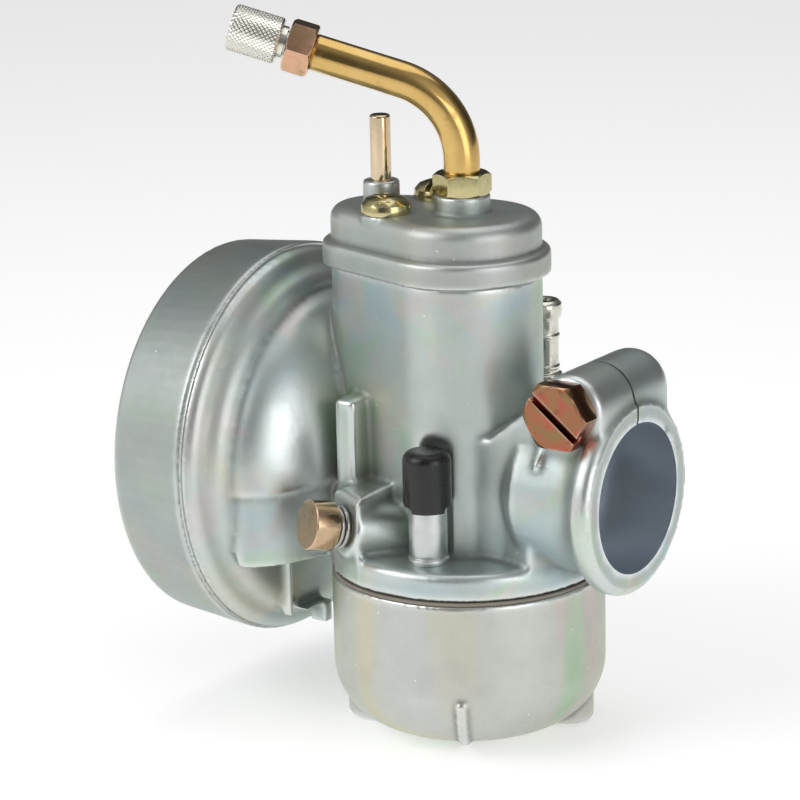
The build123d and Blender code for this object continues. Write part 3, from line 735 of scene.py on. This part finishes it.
@dataclass
class Castings:
    """The body, intake cup, float bowl and top cover."""

    grain: float = 0.50 * MM
    share: float = 0.74
    spigot_radius: float = 12.0 * MM
    spigot_depth: float = 15.0 * MM
    slit_width: float = 0.5 * MM
    slit_root: float = -13.3 * MM
    lobe_spot: tuple[float, float] = (-6.6 * MM, 15.2 * MM)
    lobe_radius: float = 5.9 * MM
    slide_spot: tuple[float, float] = (-31.8 * MM, 0.0)
    slide_radius: float = 10.0 * MM
    chamber_radius: float = 20.4 * MM
    plate_radius: float = 28.9 * MM
    lip_radius: float = 32.15 * MM
    rim_radius: float = 31.85 * MM
    plug_half: float = 0.45 * MM
    # centre and reach of the painted highlight on the hood's dome
    dome_spot: Point = (-53.0 * MM, -17.0 * MM, 5.0 * MM)
    dome_reach: Point = (9.0 * MM, 9.0 * MM, 13.0 * MM)

    def build(self) -> None:
        """Make all four castings."""
        self.body()
        self.plain("float_bowl", 0.36 * MM, 8, 0.60, Finish.CAST_BOWL)
        self.plain("top_cover", 0.28 * MM, 9, 1.0, Finish.CAST_COVER)
        self.cup()

    def plain(self, node: str, grain: float, rounds: int, share: float, finish: Finish) -> None:
        """Cast one node's skin and dress it.

        Args:
            node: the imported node.
            grain: size of the skin's facets.
            rounds: how often the skin is relaxed.
            share: how many of its facets are kept.
            finish: the casting's finish.
        """
        piece = Piece.from_node(node).cast(grain, rounds).mark(0.022 * MM)
        if share < 1.0:
            piece.modify("DECIMATE", decimate_type="COLLAPSE", ratio=share)
        piece.shade(60.0).dress(finish).settle(node)

    def about_cup(self, points: np.ndarray) -> tuple[np.ndarray, float]:
        """Distance of each point from the cup's axis, and the height of that axis."""
        low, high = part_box("intake_cup")
        middle = (low[2] + high[2]) / 2
        return np.hypot(points[:, 1], points[:, 2] - middle), middle

    def true_round(self, points: np.ndarray, chosen: np.ndarray, radius: float) -> None:
        """Bring chosen points to one radius about the cup's axis.

        Args:
            points: vertex places, changed in place.
            chosen: which of them to move.
            radius: the radius they come to.
        """
        out, middle = self.about_cup(points)
        across = points[:, 2] - middle
        share = radius / out[chosen]
        points[chosen, 1] *= share
        points[chosen, 2] = middle + across[chosen] * share

    def cup(self) -> None:
        """Cast the intake cup and true its edge at the seam."""
        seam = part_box("intake_cup")[1][0]
        piece = Piece.from_node("intake_cup").cast(0.38 * MM, 6)
        points = piece.points()
        out, _ = self.about_cup(points)
        lip = (points[:, 0] > seam - 0.5 * MM) & (out > self.lip_radius - 0.55 * MM)
        self.true_round(points, lip, self.lip_radius)
        points[lip & (points[:, 0] > seam - 0.2 * MM), 0] = seam
        piece.place_points(points)
        piece.mark(0.03 * MM).shade(60.0).dress(Finish.CAST_CUP).settle("intake_cup")

    def body(self) -> None:
        """Cast the body, true up its machined spigot and reopen its pinch slit."""
        piece = Piece.from_node("body")
        self.fill_slit(piece)
        piece.cast(self.grain, 6)
        self.true_spigot(piece)
        self.true_rim(piece)
        piece.mark(0.035 * MM)
        self.mark_regions(piece)
        self.thin_inside(piece)
        slit = self.slit_width / 2
        low = (self.slit_root, -slit, self.spigot_radius - 0.8 * MM)
        piece.cut(block(low, (2.0 * MM, slit, 26.0 * MM)))
        piece.shade(50.0).dress(Finish.CAST_BODY).settle("body")

    def thin_inside(self, piece: Piece) -> None:
        """Thin out the facets of the bores and chambers, which nothing outside shows."""
        points = piece.points()
        away = np.hypot(points[:, 0] - self.slide_spot[0], points[:, 1])
        out, _ = self.about_cup(points)
        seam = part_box("intake_cup")[1][0]
        inside = (away < self.slide_radius) & (points[:, 2] < 32.0 * MM)
        inside |= (points[:, 0] < seam + 2.2 * MM) & (out < self.plate_radius)
        inside |= (away < self.chamber_radius) & (points[:, 2] < -13.0 * MM)
        group = piece.thing.vertex_groups.new(name="inside")
        group.add(np.flatnonzero(inside).tolist(), 1.0, "REPLACE")
        piece.modify("DECIMATE", decimate_type="COLLAPSE", ratio=self.share, vertex_group="inside",
                     vertex_group_factor=500.0)
        piece.thing.vertex_groups.clear()

    def fill_slit(self, piece: Piece) -> None:
        """Close the pinch slit for casting, so that its lips come out even."""
        deselect_all()
        bpy.ops.mesh.primitive_cylinder_add(
            vertices=96, radius=self.lobe_radius, depth=2 * self.plug_half, rotation=(math.pi / 2, 0, 0),
            location=(self.lobe_spot[0], 0.0, self.lobe_spot[1]))
        plugs = [bpy.context.object]
        reach, half = self.lobe_radius, self.plug_half
        floor = self.spigot_radius + 0.05 * MM
        left, top = self.lobe_spot[0] - reach, self.lobe_spot[1]
        plugs.append(block((left, -half, floor), (left + 2 * reach, half, top)))
        plugs.append(block((-7.8 * MM, -half, floor), (-0.1 * MM, half, 14.2 * MM)))
        deselect_all()
        for plug in plugs:
            plug.select_set(True)
        piece.thing.select_set(True)
        bpy.context.view_layer.objects.active = piece.thing
        bpy.ops.object.join()

    def true_spigot(self, piece: Piece) -> None:
        """Bring the spigot's wall to its bored radius and its mouth to one plane."""
        points = piece.points()
        out = np.hypot(points[:, 1], points[:, 2])
        wall = ((points[:, 0] > -self.spigot_depth + 0.4 * MM) & (out < self.spigot_radius + 0.5 * MM)
                & (out > self.spigot_radius - 1.0 * MM))
        points[wall, 1:] *= (self.spigot_radius / out[wall])[:, None]
        points[points[:, 0] > -0.22 * MM, 0] = 0.0
        piece.place_points(points)

    def true_rim(self, piece: Piece) -> None:
        """Bring the back plate's rim, which meets the cup, to one radius and one plane."""
        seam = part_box("intake_cup")[1][0]
        points = piece.points()
        out, _ = self.about_cup(points)
        band = (np.abs(points[:, 0] - seam) < 0.55 * MM) & (out > self.rim_radius - 0.7 * MM)
        self.true_round(points, band, self.rim_radius)
        points[band & (points[:, 0] < seam + 0.25 * MM), 0] = seam
        piece.place_points(points)

    def mark_regions(self, piece: Piece) -> None:
        """Store where the spigot is bored, and where the painted highlight lies on the hood's dome."""
        points = piece.points()
        out = np.hypot(points[:, 1], points[:, 2])
        bored = (points[:, 0] > -self.spigot_depth - 0.5 * MM) & (out < self.spigot_radius + 0.15 * MM)
        # the painted highlight fades out from its centre on the dome
        away = ((points - np.array(self.dome_spot)) / np.array(self.dome_reach)) ** 2
        bright = (1 - away.sum(axis=1)).clip(0, 1) ** 1.2
        for name, values in (("bore", bored.astype(float)), ("burnish", bright)):
            layer = piece.thing.data.attributes.new(name, "FLOAT", "POINT")
            layer.data.foreach_set("value", values.astype(np.float32))


# --- cable end ---------------------------------------------------------------------------------

@dataclass
class CableEnd:
    """Elbow, its nut, the locknut and the knurled adjuster."""

    knob_radius: float = 3.7 * MM
    knob_length: float = 7.9 * MM
    seat_radius: float = 2.6 * MM
    bore_radius: float = 1.3 * MM
    stem_radius: float = 2.0 * MM
    collar_radius: float = 2.6 * MM
    groove: float = 0.17 * MM
    diamonds: int = 30
    around: int = 180
    rings: int = 54
    chamfer: float = 0.3 * MM
    collar_width: float = 0.9 * MM
    stem_length: float = 0.4 * MM
    seat_depth: float = 4.0 * MM
    groove_width: float = 0.62

    def build(self) -> None:
        """Make the four pieces."""
        elbow = Piece.from_node("cable_elbow").bevel(0.2 * MM)
        elbow.shade().dress(Finish.BRASS).settle("cable_elbow")
        nut = Piece.from_node("elbow_nut").bevel(0.28 * MM, 3)
        nut.shade(45).dress(Finish.YELLOW_ZINC).settle("elbow_nut")
        locknut = Piece.from_node("adjuster_locknut").bevel(0.32 * MM, 3)
        locknut.shade(45).dress(Finish.COPPER_ZINC).settle("adjuster_locknut")
        self.adjuster()

    def adjuster(self) -> None:
        """Draw the adjuster ring by ring up its own axis, knurl it and lay it in place."""
        deselect_all()
        start = -self.knob_length - self.collar_width - self.stem_length
        bpy.ops.mesh.primitive_circle_add(vertices=self.around, radius=self.stem_radius,
                                          fill_type="NOTHING", location=(0, 0, start))
        thing = bpy.context.object
        thing.name = "cable_adjuster_visual"
        bpy.ops.object.transform_apply(location=True, rotation=True, scale=True)
        editing(thing)
        now = (self.stem_radius, start)
        for step in self.profile(start):
            now = self.grow(now, step)
        bpy.ops.mesh.select_all(action="SELECT")
        bpy.ops.mesh.remove_doubles(threshold=MERGE)
        bpy.ops.mesh.normals_make_consistent(inside=False)
        bpy.ops.object.mode_set(mode="OBJECT")
        piece = Piece(thing)
        self.knurl(piece)
        seat = next(m for m in frame["record"]["mounts"] if m["name"] == "cable_seat")
        axis = Vector(seat["axis"])
        turn = axis.to_track_quat("Z", "Y").to_matrix().to_4x4()
        thing.data.transform(Matrix.Translation(Vector(seat["pos_m"])) @ turn)
        piece.shade(30).dress(Finish.NICKEL).settle("cable_adjuster")

    def profile(self, start: float) -> list[tuple[float, float]]:
        """Radius and height of every ring after the first, ending where the outline began."""
        knob, base, shoulder = self.knob_radius, -self.knob_length, self.knob_radius - 0.35 * MM
        under = base - self.collar_width
        foot = base + self.chamfer
        run = self.knob_length - 2 * self.chamfer
        rings = [(self.stem_radius, under), (self.collar_radius, under), (self.collar_radius, base),
                 (shoulder, base), (knob, foot)]
        rings += [(knob, foot + run * i / self.rings) for i in range(1, self.rings + 1)]
        rings += [(shoulder, 0.0), (self.seat_radius + 0.15 * MM, 0.0),
                  (self.seat_radius, -0.15 * MM), (self.seat_radius, -self.seat_depth),
                  (self.bore_radius, -self.seat_depth), (self.bore_radius, start),
                  (self.stem_radius, start)]
        return rings

    def grow(self, now: tuple[float, float], step: tuple[float, float]) -> tuple[float, float]:
        """Extrude the selected ring to the next radius and height."""
        rise = (0.0, 0.0, step[1] - now[1])
        bpy.ops.mesh.extrude_region_move(TRANSFORM_OT_translate={"value": rise})
        share = step[0] / now[0]
        if abs(share - 1.0) > 1e-6:
            bpy.ops.transform.resize(value=(share, share, 1.0), center_override=(0.0, 0.0, step[1]))
        return step

    def knurl(self, piece: Piece) -> None:
        """Press crossed grooves into the knob's side."""
        points = piece.points()
        out = np.hypot(points[:, 0], points[:, 1])
        side = ((out > self.knob_radius - 0.01 * MM) & (points[:, 2] < -0.2 * MM)
                & (points[:, 2] > -self.knob_length + 0.2 * MM))
        turn = np.arctan2(points[:, 1], points[:, 0]) * self.diamonds / (2 * math.pi)
        pitch = 2 * math.pi * self.knob_radius / self.diamonds
        climb = points[:, 2] / (pitch * 1.05)
        depth = np.zeros(len(points))
        for way in (turn + climb, turn - climb):
            across = np.abs(way - np.round(way)) * 2
            depth = np.maximum(depth, (1 - across / self.groove_width).clip(0, 1))
        scale = 1 - self.groove * depth / out.clip(1e-6)
        points[side, :2] *= scale[side, None]
        piece.place_points(points)


# --- hardware ----------------------------------------------------------------------------------

@dataclass
class Hardware:
    """Screws, posts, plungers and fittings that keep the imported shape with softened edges."""

    softened: dict[str, float] = field(default_factory=lambda: {
        "clamp_screw": 0.30, "cover_screws": 0.22, "idle_screw": 0.24, "choke_rod": 0.12,
        "fuel_inlet": 0.14, "tickler_sleeve": 0.10, "bowl_screws": 0.18, "bowl_washers": 0.08,
        "throttle_slide": 0.15, "choke_slide": 0.10, "bowl_gasket": 0.06,
    })
    special: dict[str, PlatedFinish] = field(default_factory=lambda: {
        "clamp_screw": CLAMP_PLATING, "idle_screw": IDLE_PLATING, "choke_rod": ROD_PLATING})

    def build(self) -> None:
        """Soften and dress each piece."""
        for node, width in self.softened.items():
            piece = Piece.from_node(node).bevel(width * MM, 2)
            finish = self.special.get(node, Finish(SLOT_OF[node]))
            piece.shade(40).dress(finish).settle(node)
        self.cap()

    def cap(self) -> None:
        """Rubber cap over the tickler, moulded with soft edges."""
        piece = Piece.from_node("tickler_cap").cast(0.2 * MM, 4)
        piece.shade(60).dress(Finish.BLACK_RUBBER).settle("tickler_cap")


# --- springs -----------------------------------------------------------------------------------

@dataclass(frozen=True)
class Spring:
    """A coil spring, listed with its joint, anchor and travel."""

    node: str
    joint: str
    anchor: float
    travel: float

    def build(self) -> None:
        """Copy the coil, dress it and let it ride on its node's body."""
        piece = Piece.from_node(self.node)
        piece.shade(60).dress(Finish.SPRING_STEEL).settle(self.node)
        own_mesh(piece.thing)


SPRINGS = (
    Spring("throttle_spring", "throttle_lift", 39.5 * MM, 15 * MM),
    Spring("choke_spring", "choke_press", 9.5 * MM, 10 * MM),
    Spring("tickler_spring", "tickler_press", -6.0 * MM, 3 * MM),
)


class Inside:
    """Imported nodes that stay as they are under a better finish."""

    def build(self, shown: set[str]) -> None:
        """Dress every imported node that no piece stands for.

        Args:
            shown: nodes that a piece already stands for.
        """
        for node, thing in frame["nodes"].items():
            if node in shown:
                continue
            material = material_for(Finish(SLOT_OF[node]))
            for slot in thing.material_slots:
                slot.material = material
            LOG.info("%s keeps its packed shape", node)


# --- studio ------------------------------------------------------------------------------------

@dataclass
class Studio:
    """Pale floor, soft lamps and the camera."""

    azimuth: float = 34.4389
    elevation: float = 15.4558
    roll: float = -1.2873
    distance: float = 0.542716
    aim: Point = (-0.042166, -0.003450, 0.010909)
    lens: float = 152.0
    ceiling: float = 0.36
    ceiling_from: float = 0.45
    ceiling_to: float = 0.95
    lamps: tuple[tuple[str, Point, float, float], ...] = (
        ("key", (-0.30, -0.42, 0.36), 0.40, 1.0), ("side", (0.46, -0.16, 0.12), 0.30, 0.45),
        ("top", (-0.04, 0.10, 0.55), 0.50, 0.8))
    walls: tuple[tuple[float, float], ...] = (
        (-180, 0.16), (-146, 0.04), (-105, 0.16), (-62, 0.74), (-26, 0.80), (-6, 0.55), (4, 0.08),
        (24, 0.12), (46, 0.30), (60, 0.66), (96, 0.74), (112, 0.20), (146, 0.04), (179, 0.15))

    def build(self) -> None:
        """Set up the whole studio."""
        self.camera()
        self.floor()
        self.surroundings()
        for name, spot, size, power in self.lamps:
            self.lamp(name, spot, size, power)

    def camera(self) -> None:
        """Place the camera on its line to the aim point."""
        az, el, roll = (math.radians(a) for a in (self.azimuth, self.elevation, self.roll))
        back = Vector((math.sin(az) * math.cos(el), -math.cos(az) * math.cos(el), math.sin(el)))
        level = Vector((math.cos(az), math.sin(az), 0.0))
        rise = back.cross(level)
        right = level * math.cos(roll) + rise * math.sin(roll)
        up = rise * math.cos(roll) - level * math.sin(roll)
        spot = Vector(self.aim) + back * self.distance
        data = bpy.data.cameras.new("camera")
        data.lens = self.lens
        data.sensor_width = 36.0
        data.clip_start = 0.01
        thing = bpy.data.objects.new("camera", data)
        bpy.context.scene.collection.objects.link(thing)
        rows = [(right[i], up[i], back[i], spot[i]) for i in range(3)]
        thing.matrix_world = Matrix((*rows, (0.0, 0.0, 0.0, 1.0)))
        bpy.context.scene.camera = thing
        bpy.context.scene.view_settings.view_transform = "Standard"

    def floor(self) -> None:
        """Pale floor just under the lowest point."""
        deselect_all()
        bpy.ops.mesh.primitive_plane_add(size=8.0, location=(0, 0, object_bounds()[0][2] - 0.05 * MM))
        plane = bpy.context.object
        plane.name = "floor"
        shader = Shader("pale_floor")
        shade = shader.noise(shader.place(), 3.0, 1).band(0.2, 0.8) * 0.04
        colour = shader.mix(shade, (0.93, 0.93, 0.93), (0.88, 0.88, 0.88))
        plane.data.materials.append(shader.finish(colour, 0.9, Emission_Strength=0.42))
        plane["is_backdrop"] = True

    def surroundings(self) -> None:
        """White backdrop to look at, and a softer room to light and reflect."""
        world = bpy.data.worlds.new("room")
        world.use_nodes = True
        bpy.context.scene.world = world
        room = Nodes(world.node_tree)
        glow = room.tree.nodes["Background"]
        room.feed(glow.inputs["Color"], (1.0, 1.0, 1.0, 1.0))
        way = room.add("ShaderNodeTexCoord").outputs["Generated"]
        split = room.add("ShaderNodeSeparateXYZ", {}, {0: way})
        back = room.maths("MULTIPLY", split.outputs["Y"], -1.0)
        heading = room.maths("ARCTAN2", split.outputs["X"], back)
        turn = room.add("ShaderNodeMapRange", {}, {
            "Value": heading, "From Min": -math.pi, "From Max": math.pi})
        stops = [((angle + 180.0) / 360.0, level) for angle, level in self.walls]
        walls = room.add("ShaderNodeValToRGB", {"stops": stops}, {"Fac": turn.outputs["Result"]})
        height = room.add("ShaderNodeMapRange", {"interpolation_type": "SMOOTHSTEP"}, {
            "Value": split.outputs["Z"], "From Min": self.ceiling_from, "From Max": self.ceiling_to})
        lit = room.add("ShaderNodeMix", {}, {
            0: height.outputs["Result"], 2: walls.outputs["Color"], 3: self.ceiling})
        seen = room.add("ShaderNodeLightPath").outputs["Is Camera Ray"]
        choice = room.add("ShaderNodeMix", {}, {0: seen, 2: lit.outputs[0], 3: 1.0})
        room.feed(glow.inputs["Strength"], choice.outputs[0])

    def lamp(self, name: str, spot: Point, size: float, power: float) -> None:
        """Hang a square soft lamp that faces the carburettor.

        Args:
            name: the lamp's name.
            spot: where it hangs.
            size: side of the square.
            power: watts.
        """
        data = bpy.data.lights.new(name, "AREA")
        data.energy = power
        data.size = size
        thing = bpy.data.objects.new(name, data)
        bpy.context.scene.collection.objects.link(thing)
        thing.location = spot
        aim = Vector(self.aim) - Vector(spot)
        thing.rotation_euler = aim.to_track_quat("-Z", "Y").to_euler()


def main() -> None:
    """Build every sub-assembly in order and report each piece."""
    logging.basicConfig(level=logging.INFO, format="%(message)s")
    Studio().build()
    Castings().build()
    CableEnd().build()
    Hardware().build()
    for spring in SPRINGS:
        spring.build()
    shown = {thing.name.removesuffix("_visual") for thing in bpy.data.objects
             if thing.name.endswith("_visual")}
    Inside().build(shown)
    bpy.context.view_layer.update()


if __name__ == "__main__":
    main()
